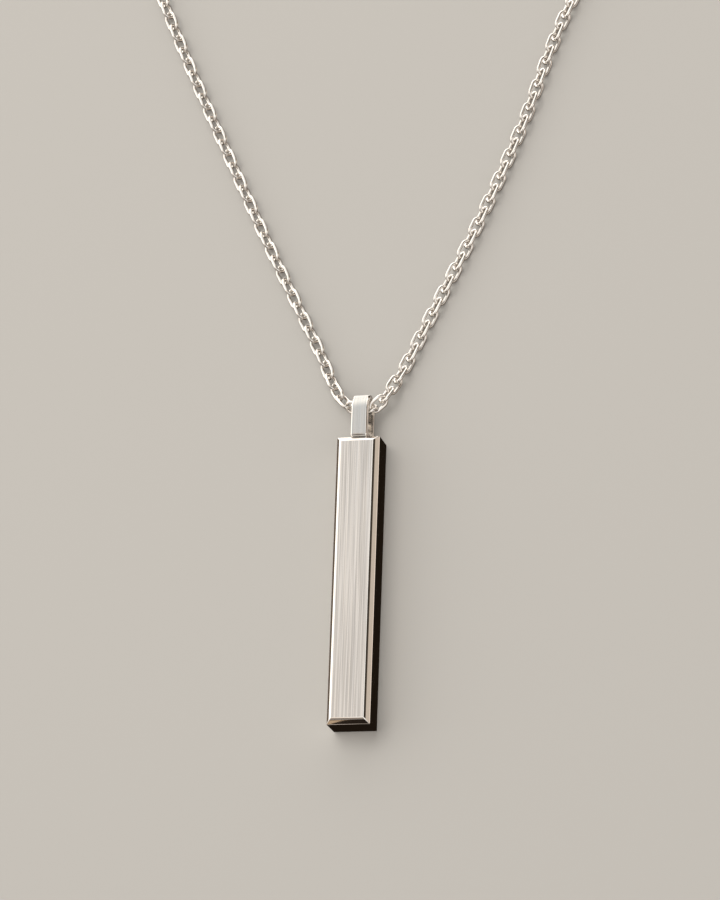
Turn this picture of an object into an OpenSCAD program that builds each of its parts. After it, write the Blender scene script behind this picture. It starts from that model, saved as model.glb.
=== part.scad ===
// Bar pendant on its chain, a whole necklace lying on a flat surface.
// Millimetres, +Z up, the surface at z = 0. The bar points along Y, its bail and the loop towards +Y.
// The origin is the middle of the necklace's outline, on the surface.

/* [Bar] */
// Length of the bar, without the bail
bar_len = 40; // [30:1:50]
// Width of the bar, over both bevels
bar_w = 5.9; // [4:0.1:8]
// Thickness of the bar, from its back to its front face
bar_t = 5; // [5:0.1:6]
// Width of the polished bevel round the front face, seen from the front
bevel_w = 0.55; // [0.3:0.05:0.6]
// Height of the bevel, from the sides up to the front face
bevel_h = 0.8; // [0.4:0.05:0.9]
// Chamfer round the back
back_chamfer = 0.2; // [0.1:0.05:0.2]

/* [Bail] */
// Width of the folded strip
bail_w = 2.3; // [1.8:0.1:3]
// Height of the strip loop above the end of the bar
bail_h = 6.5; // [6:0.1:8]
// Depth of the loop, from the back of the strip to its front
bail_d = 4.2; // [4.2:0.05:4.3]
// Thickness of the strip
bail_t = 0.7; // [0.5:0.1:0.7]
// Outer rounding of the loop's two foot corners
foot_r = 0.5; // [0.3:0.1:0.9]
// Diameter of the peg under the bail, which sits in the end of the bar
peg_d = 1.6; // [1:0.1:2.2]
// Length of the peg
peg_len = 3; // [2:0.5:5]

/* [Chain] */
// Outer length of an oval link
link_len = 3.05; // [2.8:0.05:3.2]
// Outer width of a link
link_w = 2; // [1.8:0.05:2]
// Diameter of the round wire
wire_d = 0.45; // [0.36:0.01:0.46]
// Roll of the links about the run of the chain, one to the left and the next to the right
link_roll = 45; // [40:1:50]
// Further roll of every link of the left strand, which lies leaning over to one side
left_lean = 15; // [0:1:20]
// Play at each joint of the left strand, which lies stretched
left_play = 0.15; // [0.12:0.01:0.3]
// Play at each joint of the right strand, which lies slack
right_play = 0.35; // [0.12:0.01:0.4]

/* [Clasp] */
// Diameter of the barrel
barrel_d = 3; // [2.6:0.1:3.6]
// Length of the barrel
barrel_len = 9; // [7:0.5:12]
// Outer diameter of the eye on each end
eye_d = 2.8; // [2.6:0.1:3.2]
// Diameter of the eye's wire
eye_wire_d = 0.6; // [0.5:0.05:0.65]
// Depth and width of the fine groove round the middle, where the halves of a barrel clasp meet
groove = 0.15; // [0.1:0.05:0.3]

/* [Fits] */
// Play between the last link of each strand and the clasp's eye
eye_play = 0.15; // [0.12:0.01:0.3]
// Clearance of the bail's foot and peg in the bar
seam_gap = 0.05; // [0.03:0.01:0.08]

/* [Hidden] */
$fn = 48;

// Route of the chain as [x, y], from the left eye of the clasp through the bail to the right eye,
// measured from the middle of the chain's way through the bail. The strands near the bail lie as
// in the photograph, and the rest is a plain round loop.
chain_left_points = [
    [-9, 180.7], [-21, 177.5], [-37, 166], [-48.5, 149], [-53, 129], [-49, 106], [-41, 86], [-34.5, 70],
    [-28, 54.5], [-21, 39], [-14, 24], [-7, 9.8], [-4.5, 4.1], [-2.9, 1.7], [-1.4, 0.3]
];
chain_right_points = [
    [1.3, 0.3], [2.7, 1.55], [4.9, 5.6], [8.6, 13.5], [15, 27], [20.8, 41], [26, 56], [33.5, 72],
    [42, 88], [49.5, 107], [53, 129], [48.5, 149], [37, 166], [21, 177.5], [9, 180.7]
];
// How far along Y the clasp lies from the bail
clasp_reach = 181;
// Where the two strands meet, from the middle of the bail along the chain
meet_shift = -0.3;
// How far below the middle of the bail's bend the chain runs
chain_drop = 0.1;
// Length over which the chain comes down from the bail or the clasp to the surface
fall_len = 9;
// Straight steps that each stretch between two route points is drawn with
route_steps = 12;

// Bar and bail
end_flat_mid = (back_chamfer + bar_t - bevel_h) / 2;
foot_y = seam_gap;
bend_y = foot_y + bail_h - bail_d / 2;
socket_len = peg_len + seam_gap;

// Links
link_half_w = (link_w - wire_d) / 2;
link_straight = link_len - link_w;
left_z = link_half_w * sin(link_roll + left_lean) + wire_d / 2;
right_z = link_half_w * sin(link_roll) + wire_d / 2;
link_hold = link_len - 2 * wire_d;

// The chain runs through the bail just under the middle of its bend
eye_y = bend_y - chain_drop;
eye_z = end_flat_mid;

// Clasp, and how far from the barrel's end the middle of the last link lies
clasp_z = barrel_d / 2;
shoulder = barrel_d / 4;
eye_ring_r = (eye_d - eye_wire_d) / 2;
last_link_reach = eye_ring_r + link_hold / 2 - eye_play - eye_wire_d / 2;

// Place of the bar's end, so that the origin is in the middle of the outline
bar_end_y = (bar_len - eye_y - clasp_reach - barrel_d / 2) / 2;

// Smooth route through the chosen points
route = concat(
    [[-barrel_len / 2, clasp_reach]],
    chain_left_points,
    [[0, 0]],
    chain_right_points,
    [[barrel_len / 2, clasp_reach]]
);

function route_at(i) = route[min(max(i, 0), len(route) - 1)];

function spline(a, b, c, d, t) =
    ((2 * b) + (c - a) * t + (2 * a - 5 * b + 4 * c - d) * t * t
    + (3 * b - a - 3 * c + d) * t * t * t) / 2;

flat_path = [
    for (i = [0 : len(route) - 2], k = [0 : route_steps - (i < len(route) - 2 ? 1 : 0)])
        spline(route_at(i - 1), route_at(i), route_at(i + 1), route_at(i + 2), k / route_steps)
];
bail_index = (len(chain_left_points) + 1) * route_steps;

// Length along a path at each of its points
function run_of(path) = [
    for (i = 0, s = 0; i < len(path); i = i + 1, s = s + (i < len(path) ? norm(path[i] - path[i - 1]) : 0))
        s
];

// Share of a raised end's height that is left at a distance from it
function fall(distance) = distance >= fall_len ? 0 : (1 + cos(180 * max(distance, 0) / fall_len)) / 2;

// The same route with its heights: raised at the bail and at the clasp, and lying elsewhere
flat_run = run_of(flat_path);
flat_end = flat_run[len(flat_run) - 1];
path = [
    for (i = [0 : len(flat_path) - 1])
        let (
            s = flat_run[i],
            lying_z = i < bail_index ? left_z : right_z,
            at_bail = fall(abs(s - flat_run[bail_index]) - bail_w / 2),
            at_clasp = fall(s - eye_d) + fall(flat_end - eye_d - s)
        )
            [
                flat_path[i].x,
                flat_path[i].y,
                lying_z + (eye_z - lying_z) * at_bail + (clasp_z - lying_z) * at_clasp
            ]
];

run = run_of(path);
run_end = run[len(run) - 1];
run_meet = run[bail_index] + meet_shift;
path_axes = [for (axis = [0 : 2]) [for (i = [0 : len(path) - 1]) [run[i], path[i][axis]]]];

function chain_at(s) = [for (axis = [0 : 2]) lookup(s, path_axes[axis])];

// Number of links and step of each strand
left_run = run_meet - last_link_reach;
right_run = run_end - run_meet - last_link_reach;
left_count = ceil(left_run / (link_hold - left_play) + 0.5);
right_count = ceil(right_run / (link_hold - right_play) + 0.5);
left_pitch = left_run / (left_count - 0.5);
right_pitch = right_run / (right_count - 0.5);

// Each eye is turned square to the link that it holds
left_eye_roll = left_lean + (left_count % 2 == 1 ? 1 : -1) * link_roll;
right_eye_roll = (right_count % 2 == 1 ? -1 : 1) * link_roll;

// Everything that hangs together at the bail stands where the end of the bar is
module at_bar_end() {
    translate([0, bar_end_y, 0]) children();
}

// Turns a side view, drawn with Y to the right and Z up, into a solid of that width
module side_view(width) {
    rotate([90, 0, 90]) linear_extrude(height = width, center = true) children();
}

// Outline of the bar across one of its directions, with the bevels in front and the chamfers behind
module bar_profile(width) {
    half = width / 2;
    polygon([
        [-half + back_chamfer, 0],
        [half - back_chamfer, 0],
        [half, back_chamfer],
        [half, bar_t - bevel_h],
        [half - bevel_w, bar_t],
        [-half + bevel_w, bar_t],
        [-half, bar_t - bevel_h],
        [-half, back_chamfer]
    ]);
}

// The bar is where its two outlines cross, which mitres the bevels at the corners
module bar() {
    color("silver")
    at_bar_end() difference() {
        translate([0, -bar_len / 2, 0]) intersection() {
            rotate([90, 0, 0]) linear_extrude(height = bar_len, center = true) bar_profile(bar_w);
            side_view(bar_w) bar_profile(bar_len);
        }
        translate([0, -socket_len, end_flat_mid]) rotate([-90, 0, 0])
            cylinder(d = peg_d + 2 * seam_gap, h = socket_len + seam_gap);
    }
}

// Side view of the strip loop or of its opening: rounded feet, straight legs and a half-round top
module loop_profile(depth, foot, top, corner_r) {
    bend = top - depth / 2;
    translate([bend, 0]) circle(d = depth);
    translate([foot + corner_r, -depth / 2]) square([bend - foot - corner_r, depth]);
    translate([foot, corner_r - depth / 2]) square([2 * corner_r, depth - 2 * corner_r]);
    for (side = [-1, 1])
        translate([foot + corner_r, side * (depth / 2 - corner_r)]) circle(r = corner_r);
}

// One strip folded into a loop, with the peg that holds it in the bar
module bail() {
    color("gainsboro")
    at_bar_end() translate([0, 0, end_flat_mid]) union() {
        side_view(bail_w) difference() {
            loop_profile(bail_d, foot_y, foot_y + bail_h, foot_r);
            loop_profile(bail_d - 2 * bail_t, foot_y + bail_t, foot_y + bail_h - bail_t, foot_r / 2);
        }
        translate([0, foot_y - peg_len, 0]) rotate([-90, 0, 0])
            cylinder(d = peg_d, h = peg_len + bail_t / 2);
    }
}

// One oval link of round wire, its length along X
module link() {
    for (side = [-1, 1]) {
        translate([0, side * link_half_w, 0]) rotate([0, 90, 0])
            cylinder(d = wire_d, h = link_straight, center = true);
        translate([side * link_straight / 2, 0, 0]) rotate([0, 0, -90 * side])
            rotate_extrude(angle = 180) translate([link_half_w, 0]) circle(d = wire_d);
    }
}

// A link between two points of the route, rolled about its own length
module link_between(from, to, roll) {
    way = to - from;
    flat = norm([way.x, way.y]);
    translate((from + to) / 2) rotate([roll, -atan2(way.z, flat), atan2(way.y, way.x)]) link();
}

// One strand of links from the bail to the clasp: step is positive towards the right eye, and the
// strand leans over more and more as it comes down from the bail
module strand(count, step, lean) {
    at_bar_end() translate([0, eye_y, 0]) for (i = [0 : count - 1])
        link_between(
            chain_at(run_meet + i * step),
            chain_at(run_meet + (i + 1) * step),
            lean * (1 - fall(i * abs(step))) + (i % 2 == 0 ? -1 : 1) * link_roll
        );
}

module chain_left() {
    color("lightgray") strand(left_count, -left_pitch, left_lean);
}

module chain_right() {
    color("lightgray") strand(right_count, right_pitch, 0);
}

// Half outline that turns into the barrel: rounded shoulders and a fine groove round the middle
module barrel_profile() {
    difference() {
        union() {
            translate([0, -barrel_len / 2]) square([barrel_d / 2 - shoulder, barrel_len]);
            translate([0, shoulder - barrel_len / 2]) square([barrel_d / 2, barrel_len - 2 * shoulder]);
            for (end = [-1, 1])
                translate([barrel_d / 2 - shoulder, end * (barrel_len / 2 - shoulder)])
                    circle(r = shoulder);
        }
        translate([barrel_d / 2 - groove, -groove]) square([2 * groove, 2 * groove]);
    }
}

module clasp_eye(side, roll) {
    translate([side * barrel_len / 2, 0, 0]) rotate([roll, 0, 0])
        rotate_extrude() translate([eye_ring_r, 0]) circle(d = eye_wire_d);
}

// A plain barrel clasp in one piece, with an eye on each end
module clasp() {
    color("silver")
    at_bar_end() translate([0, eye_y + clasp_reach, clasp_z]) union() {
        rotate([0, 90, 0]) rotate_extrude() barrel_profile();
        clasp_eye(-1, left_eye_roll);
        clasp_eye(1, right_eye_roll);
    }
}

bar();
bail();
chain_left();
chain_right();
clasp();
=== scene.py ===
# Bar pendant on its cable chain, a whole necklace lying on a pale floor.
# Metres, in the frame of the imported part: +Z up from the floor, and the bar along Y with its bail
# towards +Y.
import math

import bmesh
import bpy
from mathutils import Matrix, Vector


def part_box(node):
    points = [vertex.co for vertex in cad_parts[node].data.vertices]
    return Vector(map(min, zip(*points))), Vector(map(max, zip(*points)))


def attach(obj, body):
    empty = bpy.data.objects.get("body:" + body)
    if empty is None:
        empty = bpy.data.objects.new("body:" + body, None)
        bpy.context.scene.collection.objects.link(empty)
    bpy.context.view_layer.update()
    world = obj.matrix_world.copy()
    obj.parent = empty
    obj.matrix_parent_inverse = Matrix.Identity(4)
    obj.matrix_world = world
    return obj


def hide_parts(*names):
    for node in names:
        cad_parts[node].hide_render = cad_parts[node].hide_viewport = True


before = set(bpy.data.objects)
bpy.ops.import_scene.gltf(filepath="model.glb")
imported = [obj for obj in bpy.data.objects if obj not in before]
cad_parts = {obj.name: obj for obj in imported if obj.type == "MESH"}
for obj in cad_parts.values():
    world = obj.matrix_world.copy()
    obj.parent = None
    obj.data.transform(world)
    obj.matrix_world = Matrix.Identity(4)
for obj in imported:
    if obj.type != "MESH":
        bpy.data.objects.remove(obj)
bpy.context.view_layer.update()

MM = 0.001

# Bar
BEVEL_W = 0.55 * MM
BEVEL_H = 0.8 * MM
BACK_CHAMFER = 0.2 * MM
FRONT_EDGE_ROUND = 0.23 * MM
BEVEL_EDGE_ROUND = 0.12 * MM
OTHER_EDGE_ROUND = 0.05 * MM
ROUND_STEPS = 3
# What is looked for above a height is looked for from this far below it
HEIGHT_MARGIN = 0.01 * MM
# Edges whose faces turn by more than this get rounded
SHARP_TURN = math.radians(30)

# Bail. BEND_REACH is how far the bend reaches down the legs, as a share of half the bail's depth
BAIL_T = 0.7 * MM
FOOT_R = 0.5 * MM
INNER_FOOT_R = FOOT_R / 2
PEG_LEN = 3 * MM
BEND_REACH = 1.25
STRIP_EDGE_ROUND = 0.22 * MM
SQUARE_TURN = math.radians(80)
CORNER_STEPS = 6
BEND_STEPS = 40

# Numbers of the materials that are added after the first to the bar and to the bail
BAR_SIDES = 1
STRIP_SIDES = 1
STRIP_EDGES = 2
# A normal's share of an axis above which a face is square to it, and below which it runs along it
SQUARE_SHARE = 0.999
ALONG_SHARE = 0.01

# Links of the chain
LINK_LEN = 3.05 * MM
LINK_W = 2 * MM
WIRE_D = 0.45 * MM
LINK_ROLL = 45
LEFT_LEAN = 15
LEFT_PLAY = 0.15 * MM
RIGHT_PLAY = 0.35 * MM
WIRE_SIDES = 14
LINK_BEND_STEPS = 16
LINK_STRAIGHT_STEPS = 2

# Clasp
BARREL_D = 3 * MM
BARREL_LEN = 9 * MM
EYE_D = 2.8 * MM
EYE_WIRE_D = 0.6 * MM
EYE_PLAY = 0.15 * MM
SHOULDER_R = BARREL_D / 4
GROOVE = 0.15 * MM
GROOVE_EDGE = GROOVE / 4
BARREL_SIDES = 64
SHOULDER_STEPS = 8
EYE_STEPS = 48
EYE_WIRE_SIDES = 16
CLASP_SMOOTH_TURN = math.radians(40)

# Route of the chain, as in the part: millimetres from the middle of its way through the bail
CHAIN_LEFT_POINTS = [
    (-9, 180.7), (-21, 177.5), (-37, 166), (-48.5, 149), (-53, 129), (-49, 106), (-41, 86), (-34.5, 70),
    (-28, 54.5), (-21, 39), (-14, 24), (-7, 9.8), (-4.5, 4.1), (-2.9, 1.7), (-1.4, 0.3),
]
CHAIN_RIGHT_POINTS = [
    (1.3, 0.3), (2.7, 1.55), (4.9, 5.6), (8.6, 13.5), (15, 27), (20.8, 41), (26, 56), (33.5, 72),
    (42, 88), (49.5, 107), (53, 129), (48.5, 149), (37, 166), (21, 177.5), (9, 180.7),
]
CLASP_REACH = 181 * MM
MEET_SHIFT = -0.3 * MM
CHAIN_DROP = 0.1 * MM
FALL_LEN = 9 * MM
ROUTE_STEPS = 12

# Camera, at the angle of the photograph
CAMERA_AT = Vector((127.9, -242.4, 501.7)) * MM
CAMERA_AIM = Vector((-0.8, -73.9, 0)) * MM
CAMERA_ROLL = -37.6
CAMERA_LENS = 160
CAMERA_NEAR = 0.01
SENSOR = 36

# Metal colours
WARM_SILVER = (0.76, 0.725, 0.685, 1)
COOL_SILVER = (0.72, 0.705, 0.69, 1)
POLISHED_SILVER = (0.9, 0.87, 0.835, 1)
WARM_STEEL = (0.57, 0.565, 0.55, 1)
COOL_STEEL = (0.53, 0.54, 0.54, 1)
FLOOR_COLOUR = (0.48, 0.473, 0.458, 1)

# Finish of the metal: features a metre across, along and up the bar
BROAD_STREAKS = (3000, 50, 50)
STREAKS = (8500, 70, 70)
FINE_STREAKS = (14000, 150, 150)
WEAR_PATCHES = (900, 900, 900)
BRUSH_RELIEF = 0.01 * MM
WORN_SHADE = 0.93
# Links differ in tone by a sine of their number, scaled up until it looks random
TONE_TURN = 12.9898
TONE_SPREAD = 43758.5453

# Light. The sky's colour at heights from -1, straight down, to 1, straight up
SKY = [
    (-0.85, (0.012, 0.008, 0.005, 1)),
    (-0.7, (0.16, 0.125, 0.095, 1)),
    (-0.5, (0.36, 0.305, 0.255, 1)),
    (0.2, (0.55, 0.485, 0.42, 1)),
    (0.7, (1.12, 1.09, 1.05, 1)),
]
# Soft round cards in it, each under the name of what mirrors it towards the camera. A later card
# covers an earlier one: (direction, half angle of the full part, half angle with the soft edge, colour)
SKY_CARDS = [
    # Upper bevel and front edge of the bar, and the bend of the bail
    ((-0.28, 0.95, -0.1), 20, 62, (1.95, 1.85, 1.7, 1)),
    # Left front edge of the bar, and left edge of the bail
    ((-0.93, 0.31, 0.15), 24, 42, (1.8, 1.72, 1.58, 1)),
    # Left bevel
    ((-0.78, 0.31, -0.62), 12, 24, (0.14, 0.105, 0.08, 1)),
    # Right bevel, its outer edge, and the dark line between it and the front
    ((0.94, 0.31, -0.11), 14, 22, (0.62, 0.53, 0.44, 1)),
    ((0.72, 0.31, -0.62), 10, 18, (1.2, 1.02, 0.88, 1)),
    ((0.9, 0.31, 0.33), 10, 18, (0.08, 0.065, 0.05, 1)),
    # Lower bevel and its outer edge
    ((-0.24, -0.96, 0), 20, 30, (0.02, 0.014, 0.01, 1)),
    ((-0.24, -0.78, -0.58), 8, 15, (0.8, 0.7, 0.6, 1)),
    # Right front edge of the bar, and right edge of the bail
    ((0.64, 0.31, 0.7), 20, 28, (0.05, 0.04, 0.03, 1)),
    # Lower front edge and the foot of the bail
    ((-0.24, -0.6, 0.76), 14, 24, (0.24, 0.19, 0.15, 1)),
    # Mitre at the upper right corner
    ((0.32, 0.87, -0.38), 18, 27, (0.03, 0.022, 0.016, 1)),
    # Start of the lower front edge, and softly the brushed front
    ((-0.24, 0, 0.97), 6, 20, (0.98, 0.86, 0.75, 1)),
]
# A small warm card past the bar's lower end: its corners in millimetres across and up
BOUNCE_CARD = [(-12, 2.6), (-5.3, 2.6), (-1.3, 5.5), (-12, 5.5)]
BOUNCE_AWAY = 8 * MM
BOUNCE_COLOUR = (0.52, 0.38, 0.25, 1)
# Lamp and floor, in metres
KEY_AT = Vector((-0.15, 0.1, 0.55))
KEY_SIZE = 0.4
KEY_POWER = 1.2
KEY_COLOUR = (1, 0.94, 0.86)
FLOOR_SIZE = 6
FLOOR_Z = -0.02 * MM


# Where things are
bar_low, bar_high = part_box("bar")
bail_low, bail_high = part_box("bail")
bar_end_y = bar_high.y
bevel_low_z = bar_high.z - BEVEL_H
bevel_mid_z = bar_high.z - BEVEL_H / 2
end_flat_mid = (BACK_CHAMFER + bevel_low_z) / 2
bail_depth = bail_high.z - bail_low.z
bend_y = bail_high.y - bail_depth / 2
eye_at = Vector((0, bend_y - CHAIN_DROP, end_flat_mid))
link_half_w = (LINK_W - WIRE_D) / 2
link_straight = LINK_LEN - LINK_W
link_hold = LINK_LEN - 2 * WIRE_D
left_z = link_half_w * math.sin(math.radians(LINK_ROLL + LEFT_LEAN)) + WIRE_D / 2
right_z = link_half_w * math.sin(math.radians(LINK_ROLL)) + WIRE_D / 2
clasp_at = Vector((0, eye_at.y + CLASP_REACH, BARREL_D / 2))
eye_ring_r = (EYE_D - EYE_WIRE_D) / 2
last_link_reach = eye_ring_r + link_hold / 2 - EYE_PLAY - EYE_WIRE_D / 2


def spline(a, b, c, d, t):
    """A point between b and c on the smooth curve through a, b, c and d."""
    straight = c - a
    bend = 2 * a - 5 * b + 4 * c - d
    twist = 3 * b - a - 3 * c + d
    return (2 * b + straight * t + bend * t * t + twist * t ** 3) / 2


def lengths_along(points):
    """The length of the way to each point."""
    lengths = [0.0]
    for a, b in zip(points, points[1:]):
        lengths.append(lengths[-1] + (b - a).length)
    return lengths


def fall(distance):
    """Share of a raised end's height that is left at a distance from it."""
    if distance >= FALL_LEN:
        return 0.0
    return (1 + math.cos(math.pi * max(distance, 0) / FALL_LEN)) / 2


class ChainPath:
    """The chain's middle line, from the left eye of the clasp through the bail to the right eye."""

    def __init__(self):
        ends = [(-BARREL_LEN / 2 / MM, CLASP_REACH / MM), (BARREL_LEN / 2 / MM, CLASP_REACH / MM)]
        route = [ends[0]] + CHAIN_LEFT_POINTS + [(0, 0)] + CHAIN_RIGHT_POINTS + [ends[1]]
        route = [Vector(p) * MM for p in route]
        last = len(route) - 1
        flat = []
        for i in range(last):
            a, b, c, d = (route[min(max(k, 0), last)] for k in range(i - 1, i + 3))
            flat += [spline(a, b, c, d, k / ROUTE_STEPS) for k in range(ROUTE_STEPS)]
        flat.append(route[last])
        bail_index = (len(CHAIN_LEFT_POINTS) + 1) * ROUTE_STEPS
        flat_run = lengths_along(flat)
        bail_w = bail_high.x - bail_low.x
        self.points = []
        for i, (point, s) in enumerate(zip(flat, flat_run)):
            lying_z = left_z if i < bail_index else right_z
            at_bail = fall(abs(s - flat_run[bail_index]) - bail_w / 2)
            at_clasp = fall(s - EYE_D) + fall(flat_run[-1] - EYE_D - s)
            z = lying_z + (eye_at.z - lying_z) * at_bail + (clasp_at.z - lying_z) * at_clasp
            self.points.append(Vector((point.x, eye_at.y + point.y, z)))
        self.run = lengths_along(self.points)
        self.meet = self.run[bail_index] + MEET_SHIFT
        self.end = self.run[-1]

    def at(self, s):
        """The point that lies a length s along the chain."""
        i = 0
        while i < len(self.run) - 2 and self.run[i + 1] < s:
            i += 1
        share = (s - self.run[i]) / (self.run[i + 1] - self.run[i])
        return self.points[i].lerp(self.points[i + 1], share)


def add_to_scene(name, data):
    thing = bpy.data.objects.new(name, data)
    bpy.context.scene.collection.objects.link(thing)
    return thing


def new_object(name, mesh, material, node):
    """Puts a mesh in the scene in place of a node of the part."""
    piece = add_to_scene(name, mesh)
    mesh.materials.append(material)
    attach(piece, "root")
    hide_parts(node)
    return piece


def smooth(mesh):
    mesh.polygons.foreach_set("use_smooth", [True] * len(mesh.polygons))


def weight_normals(piece):
    """Keeps large faces flat, so that only the narrow rounded edges between them shade as round."""
    smooth(piece.data)
    modifier = piece.modifiers.new("flat faces", "WEIGHTED_NORMAL")
    modifier.mode = "FACE_AREA"
    modifier.weight = 100


def edges_above(bm, height):
    return [e for e in bm.edges if min(v.co.z for v in e.verts) > height]


def sharp_edges(edges, turn):
    """Those whose two faces turn by more than an angle in radians."""
    return [e for e in edges if e.calc_face_angle(0) > turn]


def round_edges(bm, edges, width):
    bmesh.ops.bevel(
        bm, geom=edges, offset=width, offset_type="OFFSET", segments=ROUND_STEPS, profile=0.5,
        affect="EDGES", clamp_overlap=True,
    )


def finished_mesh(bm, name):
    mesh = bpy.data.meshes.new(name)
    bm.to_mesh(mesh)
    bm.free()
    return mesh


def bar_mesh():
    """The bar as four outlines on top of each other: chamfered back, upright sides, bevelled front."""
    levels = [
        (BACK_CHAMFER, bar_low.z),
        (0, bar_low.z + BACK_CHAMFER),
        (0, bevel_low_z),
        (BEVEL_W, bar_high.z),
    ]
    bm = bmesh.new()
    rings = []
    for inset, z in levels:
        low_x, high_x = bar_low.x + inset, bar_high.x - inset
        low_y, high_y = bar_low.y + inset, bar_high.y - inset
        corners = [(low_x, low_y), (high_x, low_y), (high_x, high_y), (low_x, high_y)]
        rings.append([bm.verts.new((x, y, z)) for x, y in corners])
    for below, above in zip(rings, rings[1:]):
        for k in range(4):
            bm.faces.new((below[k], below[(k + 1) % 4], above[(k + 1) % 4], above[k]))
    bm.faces.new(reversed(rings[0]))
    bm.faces.new(rings[-1])
    round_edges(bm, edges_above(bm, bevel_mid_z), FRONT_EDGE_ROUND)
    round_edges(bm, sharp_edges(edges_above(bm, bevel_low_z - HEIGHT_MARGIN), SHARP_TURN), BEVEL_EDGE_ROUND)
    round_edges(bm, sharp_edges(bm.edges, SHARP_TURN), OTHER_EDGE_ROUND)
    return finished_mesh(bm, "bar")


def arc(centre, radius, start, end, steps):
    """Points [y, z] on an arc, angles in degrees from +Y towards +Z."""
    angles = [math.radians(start + (end - start) * k / steps) for k in range(steps + 1)]
    return [(centre[0] + radius * math.cos(a), centre[1] + radius * math.sin(a)) for a in angles]


def strip_loop(depth, foot, top, corner_r):
    """Side view of the bail's loop or of its opening, from the middle of its depth."""
    half = depth / 2
    bend = arc((0, 0), half, -90, 90, BEND_STEPS)
    return (
        arc((foot + corner_r, corner_r - half), corner_r, 180, 270, CORNER_STEPS)
        + [(top + (y - half) * BEND_REACH, z) for y, z in bend]
        + arc((foot + corner_r, half - corner_r), corner_r, 90, 180, CORNER_STEPS)
    )


def bail_mesh():
    """The strip folded into a loop: outer and inner outline, drawn out to the width of the strip."""
    foot = bail_low.y + PEG_LEN
    middle = (bail_low.z + bail_high.z) / 2
    outer = strip_loop(bail_depth, foot, bail_high.y, FOOT_R)
    inner = strip_loop(bail_depth - 2 * BAIL_T, foot + BAIL_T, bail_high.y - BAIL_T, INNER_FOOT_R)
    bm = bmesh.new()
    loops = [
        [bm.verts.new((x, y, middle + z)) for y, z in outline]
        for x in (bail_low.x, bail_high.x) for outline in (outer, inner)
    ]
    left_outer, left_inner, right_outer, right_inner = loops
    count = len(outer)
    for k in range(count):
        n = (k + 1) % count
        bm.faces.new((left_outer[k], left_outer[n], right_outer[n], right_outer[k]))
        inside = bm.faces.new((right_inner[k], right_inner[n], left_inner[n], left_inner[k]))
        inside.material_index = STRIP_EDGES
        bm.faces.new((right_outer[k], right_outer[n], right_inner[n], right_inner[k]))
        bm.faces.new((left_inner[k], left_inner[n], left_outer[n], left_outer[k]))
    bmesh.ops.recalc_face_normals(bm, faces=bm.faces)
    outer_rims = [bm.edges.get((ring[k], ring[(k + 1) % count])) for ring in (left_outer, right_outer)
                  for k in range(count)]
    round_edges(bm, outer_rims, STRIP_EDGE_ROUND)
    round_edges(bm, sharp_edges(bm.edges, SQUARE_TURN), OTHER_EDGE_ROUND)
    return finished_mesh(bm, "bail")


def link_outline():
    """The link's middle line in its own plane, as points with the direction to the outside."""
    outline = []
    for side, start in ((1, -90), (-1, 90)):
        for k in range(LINK_BEND_STEPS + 1):
            a = math.radians(start + 180 * k / LINK_BEND_STEPS)
            outward = Vector((math.cos(a), math.sin(a), 0))
            outline.append((Vector((side * link_straight / 2, 0, 0)) + outward * link_half_w, outward))
        for k in range(1, LINK_STRAIGHT_STEPS):
            share = k / LINK_STRAIGHT_STEPS
            point = Vector((side * link_straight * (0.5 - share), side * link_half_w, 0))
            outline.append((point, Vector((0, side, 0))))
    return outline


def link_points(outline):
    """The wire's surface round the outline, ring after ring."""
    points = []
    for middle, outward in outline:
        for k in range(WIRE_SIDES):
            a = 2 * math.pi * k / WIRE_SIDES
            points.append(middle + (outward * math.cos(a) + Vector((0, 0, math.sin(a)))) * (WIRE_D / 2))
    return points


def link_matrix(start, end, roll):
    """Places a link between two points of the chain, rolled about its own length."""
    way = (end - start).normalized()
    across = Vector((-way.y, way.x, 0)).normalized()
    placed = Matrix((way, across, way.cross(across))).transposed().to_4x4()
    return Matrix.Translation((start + end) / 2) @ placed @ Matrix.Rotation(math.radians(roll), 4, "X")


def strand_mesh(name, path, count, step, lean):
    """One strand of links from the bail to the clasp, which leans over as it comes down from the bail."""
    outline = link_outline()
    shape = link_points(outline)
    rings = len(outline)
    vertices, faces, tones = [], [], []
    for i in range(count):
        roll = lean * (1 - fall(i * abs(step))) + (-LINK_ROLL if i % 2 == 0 else LINK_ROLL)
        place = link_matrix(path.at(path.meet + i * step), path.at(path.meet + (i + 1) * step), roll)
        first = len(vertices)
        vertices += [place @ p for p in shape]
        tones += [math.sin(i * TONE_TURN) * TONE_SPREAD % 1] * len(shape)
        for r in range(rings):
            for k in range(WIRE_SIDES):
                here, beside = r * WIRE_SIDES, (r + 1) % rings * WIRE_SIDES
                n = (k + 1) % WIRE_SIDES
                faces.append([first + v for v in (here + k, beside + k, beside + n, here + n)])
    mesh = bpy.data.meshes.new(name)
    mesh.from_pydata(vertices, [], faces)
    tone = mesh.attributes.new("link_tone", "FLOAT", "POINT")
    tone.data.foreach_set("value", tones)
    smooth(mesh)
    return mesh


def lathe(bm, profile, steps, matrix):
    """Turns a profile of [along, radius] points round the X axis; its ends lie on the axis."""
    rings = []
    for along, radius in profile:
        if radius == 0:
            rings.append([bm.verts.new(matrix @ Vector((along, 0, 0)))])
            continue
        angles = [2 * math.pi * k / steps for k in range(steps)]
        rings.append([
            bm.verts.new(matrix @ Vector((along, radius * math.cos(a), radius * math.sin(a))))
            for a in angles
        ])
    for a, b in zip(rings, rings[1:]):
        for k in range(steps):
            n = (k + 1) % steps
            corners = [a[k % len(a)], a[n % len(a)], b[n % len(b)], b[k % len(b)]]
            bm.faces.new(list(dict.fromkeys(corners)))


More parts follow.
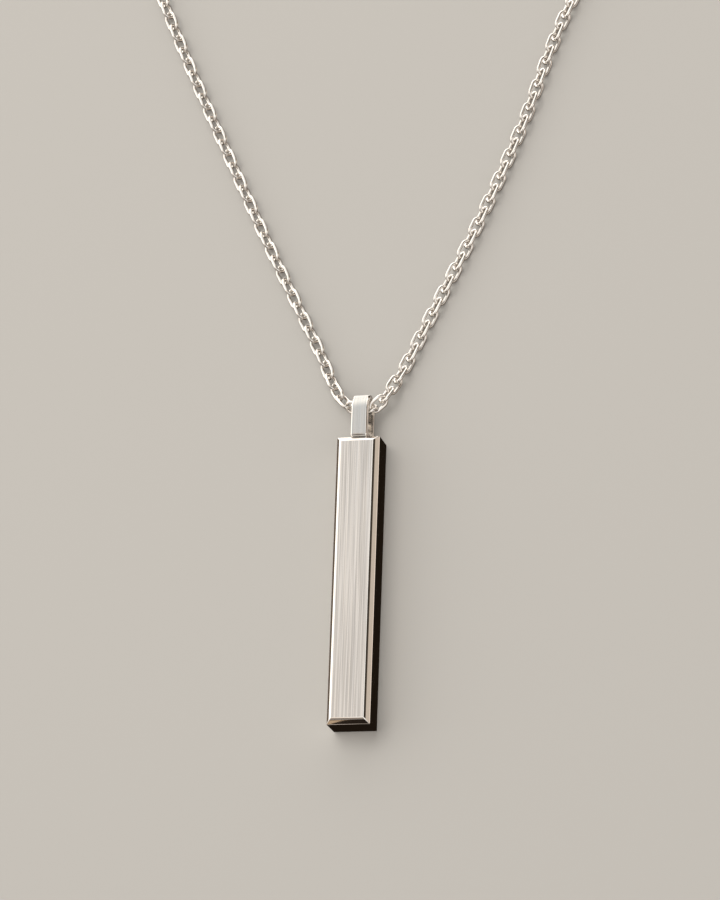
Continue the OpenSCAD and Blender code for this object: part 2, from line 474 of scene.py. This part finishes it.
def torus(bm, ring_r, wire_r, ring_steps, wire_steps, matrix):
    """A ring of round wire in the plane across its own Z axis."""
    rings = []
    for r in range(ring_steps):
        a = 2 * math.pi * r / ring_steps
        outward = Vector((math.cos(a), math.sin(a), 0))
        ring = []
        for k in range(wire_steps):
            b = 2 * math.pi * k / wire_steps
            offset = (outward * math.cos(b) + Vector((0, 0, math.sin(b)))) * wire_r
            ring.append(bm.verts.new(matrix @ (outward * ring_r + offset)))
        rings.append(ring)
    for r in range(ring_steps):
        here, beside = rings[r], rings[(r + 1) % ring_steps]
        for k in range(wire_steps):
            n = (k + 1) % wire_steps
            bm.faces.new((here[k], beside[k], beside[n], here[n]))


def barrel_profile():
    """From end to end: flat end, rounded shoulder, side, groove in the middle, side, shoulder, flat end."""
    half = BARREL_LEN / 2
    radius = BARREL_D / 2
    near = [
        (-half, 0),
        *arc((SHOULDER_R - half, radius - SHOULDER_R), SHOULDER_R, 180, 90, SHOULDER_STEPS),
        (-GROOVE - GROOVE_EDGE, radius),
        (-GROOVE, radius - GROOVE_EDGE),
        (-GROOVE, radius - GROOVE),
    ]
    return near + [(-along, r) for along, r in reversed(near)]


def clasp_mesh(left_roll, right_roll):
    """The barrel with an eye on each end, each turned by its roll."""
    bm = bmesh.new()
    at_clasp = Matrix.Translation(clasp_at)
    lathe(bm, barrel_profile(), BARREL_SIDES, at_clasp)
    for side, roll in ((-1, left_roll), (1, right_roll)):
        rolled = Matrix.Rotation(math.radians(roll), 4, "X")
        end = Matrix.Translation((side * BARREL_LEN / 2, 0, 0)) @ rolled
        torus(bm, eye_ring_r, EYE_WIRE_D / 2, EYE_STEPS, EYE_WIRE_SIDES, at_clasp @ end)
    bmesh.ops.recalc_face_normals(bm, faces=bm.faces)
    mesh = finished_mesh(bm, "clasp")
    smooth(mesh)
    mesh.set_sharp_from_angle(angle=CLASP_SMOOTH_TURN)
    return mesh


class Nodes:
    """Short calls for building a node tree. Inputs are named, or numbered where names repeat."""

    def __init__(self, tree):
        self.tree = tree
        self.tree.nodes.clear()

    def add(self, kind, inputs=None, **settings):
        node = self.tree.nodes.new(kind)
        for name, value in settings.items():
            setattr(node, name, value)
        for name, value in (inputs or {}).items():
            if isinstance(value, bpy.types.NodeSocket):
                self.tree.links.new(value, node.inputs[name])
            else:
                node.inputs[name].default_value = value
        return node

    def mix(self, blend, factor, first, second):
        """Mixes two colours. In this node the colours are inputs 6 and 7, and output 2."""
        inputs = {0: factor, 6: first, 7: second}
        return self.add("ShaderNodeMix", inputs, data_type="RGBA", blend_type=blend).outputs[2]

    def ramp(self, factor, stops):
        node = self.add("ShaderNodeValToRGB", {"Fac": factor})
        elements = node.color_ramp.elements
        while len(elements) < len(stops):
            elements.new(0.5)
        for element, (position, colour) in zip(elements, stops):
            element.position = position
            element.color = colour
        return node.outputs["Color"]

    def range(self, value, from_low, from_high, low, high, easing="LINEAR"):
        return self.add("ShaderNodeMapRange", {
            "Value": value, "From Min": from_low, "From Max": from_high, "To Min": low, "To Max": high,
        }, interpolation_type=easing).outputs["Result"]

    def noise(self, place, scale, detail):
        """Noise with that many features a metre along each axis."""
        spread = self.add("ShaderNodeMapping", {"Vector": place, "Scale": scale}).outputs["Vector"]
        grain = self.add("ShaderNodeTexNoise", {"Vector": spread, "Scale": 1.0, "Detail": detail})
        return grain.outputs["Fac"]

    def surface(self, shader):
        self.add("ShaderNodeOutputMaterial", {"Surface": shader.outputs[0]})


def new_material(name):
    material = bpy.data.materials.new(name)
    material.use_nodes = True
    return material, Nodes(material.node_tree)


def grey(value):
    return (value, value, value, 1)


def brushed_material(name, warm, cool, roughness, contrast):
    """Brushed along Y: streaks that run lengthwise, in tint, brightness, gloss and relief."""
    material, nodes = new_material(name)
    place = nodes.add("ShaderNodeTexCoord").outputs["Object"]
    broad = nodes.noise(place, BROAD_STREAKS, 3.0)
    streaks = nodes.noise(place, STREAKS, 1.0)
    fine = nodes.noise(place, FINE_STREAKS, 3.0)
    tint = nodes.ramp(broad, [(0.3, warm), (0.7, cool)])
    shade = nodes.ramp(streaks, [(0.3, grey(1 - contrast)), (0.65, grey(1))])
    relief = nodes.add("ShaderNodeBump", {"Height": fine, "Strength": 0.25, "Distance": BRUSH_RELIEF})
    turning = nodes.add("ShaderNodeTangent", direction_type="RADIAL", axis="Y")
    shader = nodes.add("ShaderNodeBsdfPrincipled", {
        "Base Color": nodes.mix("MULTIPLY", 1.0, tint, shade),
        "Metallic": 1.0,
        "Roughness": nodes.range(fine, 0.3, 0.7, 0.85 * roughness, 1.15 * roughness),
        "Anisotropic": 0.5,
        "Tangent": turning.outputs["Tangent"],
        "Normal": relief.outputs["Normal"],
    })
    nodes.surface(shader)
    return material


def polished_material(name, colour, roughness, tone_attribute=None):
    """Polished metal with faint wear: slightly duller and darker patches, or a tone for each link."""
    material, nodes = new_material(name)
    place = nodes.add("ShaderNodeTexCoord").outputs["Object"]
    patches = nodes.noise(place, WEAR_PATCHES, 3.0)
    tone = patches
    if tone_attribute:
        tone = nodes.add("ShaderNodeAttribute", attribute_name=tone_attribute).outputs["Fac"]
    darker = tuple(WORN_SHADE * c for c in colour[:3]) + (1,)
    shader = nodes.add("ShaderNodeBsdfPrincipled", {
        "Base Color": nodes.ramp(tone, [(0.2, darker), (0.8, colour)]),
        "Metallic": 1.0,
        "Roughness": nodes.range(patches, 0.3, 0.7, 0.7 * roughness, 1.4 * roughness),
    })
    nodes.surface(shader)
    return material


def floor_material():
    material, nodes = new_material("pale_floor")
    shader = nodes.add("ShaderNodeBsdfPrincipled", {
        "Base Color": FLOOR_COLOUR, "Roughness": 0.9, "Specular IOR Level": 0.1,
    })
    nodes.surface(shader)
    return material


def studio_sky():
    """What the metal mirrors: a sky that fades to dark below, with soft light and dark cards. The camera
    sees a plain one.
    """
    world = bpy.data.worlds.new("studio")
    bpy.context.scene.world = world
    world.use_nodes = True
    nodes = Nodes(world.node_tree)
    towards = nodes.add("ShaderNodeTexCoord").outputs["Generated"]
    height = nodes.add("ShaderNodeSeparateXYZ", {"Vector": towards}).outputs["Z"]
    colour = nodes.ramp(nodes.range(height, -1, 1, 0, 1), [((z + 1) / 2, tint) for z, tint in SKY])
    for direction, inner, outer, card_colour in SKY_CARDS:
        middle = Vector(direction).normalized()
        facing = nodes.add("ShaderNodeVectorMath", {0: towards, 1: middle}, operation="DOT_PRODUCT")
        edge_out = math.cos(math.radians(outer))
        edge_in = math.cos(math.radians(inner))
        share = nodes.range(facing.outputs["Value"], edge_out, edge_in, 0, 1, easing="SMOOTHSTEP")
        colour = nodes.mix("MIX", share, colour, card_colour)
    sky = nodes.add("ShaderNodeBackground", {"Color": colour, "Strength": 1.0})
    plain = nodes.add("ShaderNodeBackground", {"Color": FLOOR_COLOUR, "Strength": 1.0})
    seen = nodes.add("ShaderNodeLightPath").outputs["Is Camera Ray"]
    both = nodes.add("ShaderNodeMixShader", {0: seen, 1: sky.outputs[0], 2: plain.outputs[0]})
    nodes.add("ShaderNodeOutputWorld", {"Surface": both.outputs[0]})


def key_light():
    """A soft lamp above, aimed at the bar's upper end. It gives shadows but isn't mirrored."""
    data = bpy.data.lights.new("key", "AREA")
    data.shape = "DISK"
    data.size = KEY_SIZE
    data.energy = KEY_POWER
    data.color = KEY_COLOUR
    light = add_to_scene("key", data)
    light.location = KEY_AT
    light.rotation_euler = (Vector((0, bar_end_y, 0)) - KEY_AT).to_track_quat("-Z", "Y").to_euler()
    light.visible_camera = False
    light.visible_glossy = False


def bounce_card():
    """Only the metal mirrors this card. Its slanted edge crosses the bar's lower bevel."""
    mesh = bpy.data.meshes.new("bounce_card")
    card_y = bar_low.y - BOUNCE_AWAY
    mesh.from_pydata([(x * MM, card_y, z * MM) for x, z in BOUNCE_CARD], [], [(0, 1, 2, 3)])
    material, nodes = new_material("warm_card")
    nodes.surface(nodes.add("ShaderNodeEmission", {"Color": BOUNCE_COLOUR, "Strength": 1.0}))
    mesh.materials.append(material)
    card = add_to_scene("bounce_card", mesh)
    card.visible_camera = False
    card.visible_diffuse = False
    card.visible_shadow = False


def floor():
    """A plain square that the metal doesn't mirror."""
    mesh = bpy.data.meshes.new("floor")
    half = FLOOR_SIZE / 2
    corners = [(-half, -half), (half, -half), (half, half), (-half, half)]
    mesh.from_pydata([(x, y, FLOOR_Z) for x, y in corners], [], [(0, 1, 2, 3)])
    mesh.materials.append(floor_material())
    plane = add_to_scene("floor", mesh)
    plane.visible_glossy = False


def camera():
    """The photograph's angle: aimed at a point on the floor and rolled about the line of sight."""
    data = bpy.data.cameras.new("camera")
    data.lens = CAMERA_LENS
    data.sensor_width = SENSOR
    data.sensor_fit = "AUTO"
    data.clip_start = CAMERA_NEAR
    placed = add_to_scene("camera", data)
    aim = (CAMERA_AIM - CAMERA_AT).to_track_quat("-Z", "Y")
    placed.matrix_world = (
        Matrix.Translation(CAMERA_AT) @ aim.to_matrix().to_4x4()
        @ Matrix.Rotation(math.radians(CAMERA_ROLL), 4, "Z")
    )
    bpy.context.scene.camera = placed


def bar_piece():
    """The bar: its front brushed, and the rest polished."""
    mesh = bar_mesh()
    front = brushed_material("brushed_front", WARM_SILVER, COOL_SILVER, roughness=0.3, contrast=0.36)
    bar = new_object("pendant_bar", mesh, front, "bar")
    mesh.materials.append(polished_material("polished_bevels", POLISHED_SILVER, roughness=0.1))
    for face in mesh.polygons:
        if face.normal.z < SQUARE_SHARE or face.center.z < bevel_mid_z:
            face.material_index = BAR_SIDES
    weight_normals(bar)


def bail_piece():
    """The bail: finely brushed outside, satin on the strip's sides, polished inside and on its edges."""
    mesh = bail_mesh()
    strip = brushed_material("finely_brushed_bail", WARM_STEEL, COOL_STEEL, roughness=0.16, contrast=0.12)
    bail = new_object("strip_bail", mesh, strip, "bail")
    mesh.materials.append(polished_material("satin_strip_sides", POLISHED_SILVER, roughness=0.5))
    mesh.materials.append(polished_material("polished_strip_edges", POLISHED_SILVER, roughness=0.1))
    for face in mesh.polygons:
        sideways = abs(face.normal.x)
        if sideways > SQUARE_SHARE:
            face.material_index = STRIP_SIDES
        elif sideways > ALONG_SHARE:
            face.material_index = STRIP_EDGES
    weight_normals(bail)


def chain_pieces(path):
    """Makes both strands and returns the roll of each clasp eye, square to the link that it holds. Each
    run ends at the middle of the last link, so the strand is half a step longer.
    """
    metal = polished_material("polished_links", POLISHED_SILVER, roughness=0.1, tone_attribute="link_tone")
    strands = [
        ("chain_left", -1, path.meet - last_link_reach, LEFT_PLAY, LEFT_LEAN),
        ("chain_right", 1, path.end - path.meet - last_link_reach, RIGHT_PLAY, 0),
    ]
    rolls = []
    for name, side, run, play, lean in strands:
        count = math.ceil(run / (link_hold - play) + 0.5)
        mesh = strand_mesh(name, path, count, side * run / (count - 0.5), lean)
        new_object(name + "_links", mesh, metal, name)
        rolls.append(lean + (-side if count % 2 == 1 else side) * LINK_ROLL)
    return rolls


def clasp_piece(rolls):
    material = polished_material("polished_clasp", POLISHED_SILVER, roughness=0.12)
    new_object("barrel_clasp", clasp_mesh(*rolls), material, "clasp")


bpy.context.scene.view_settings.view_transform = "Standard"
camera()
floor()
studio_sky()
key_light()
bounce_card()
bar_piece()
bail_piece()
clasp_piece(chain_pieces(ChainPath()))
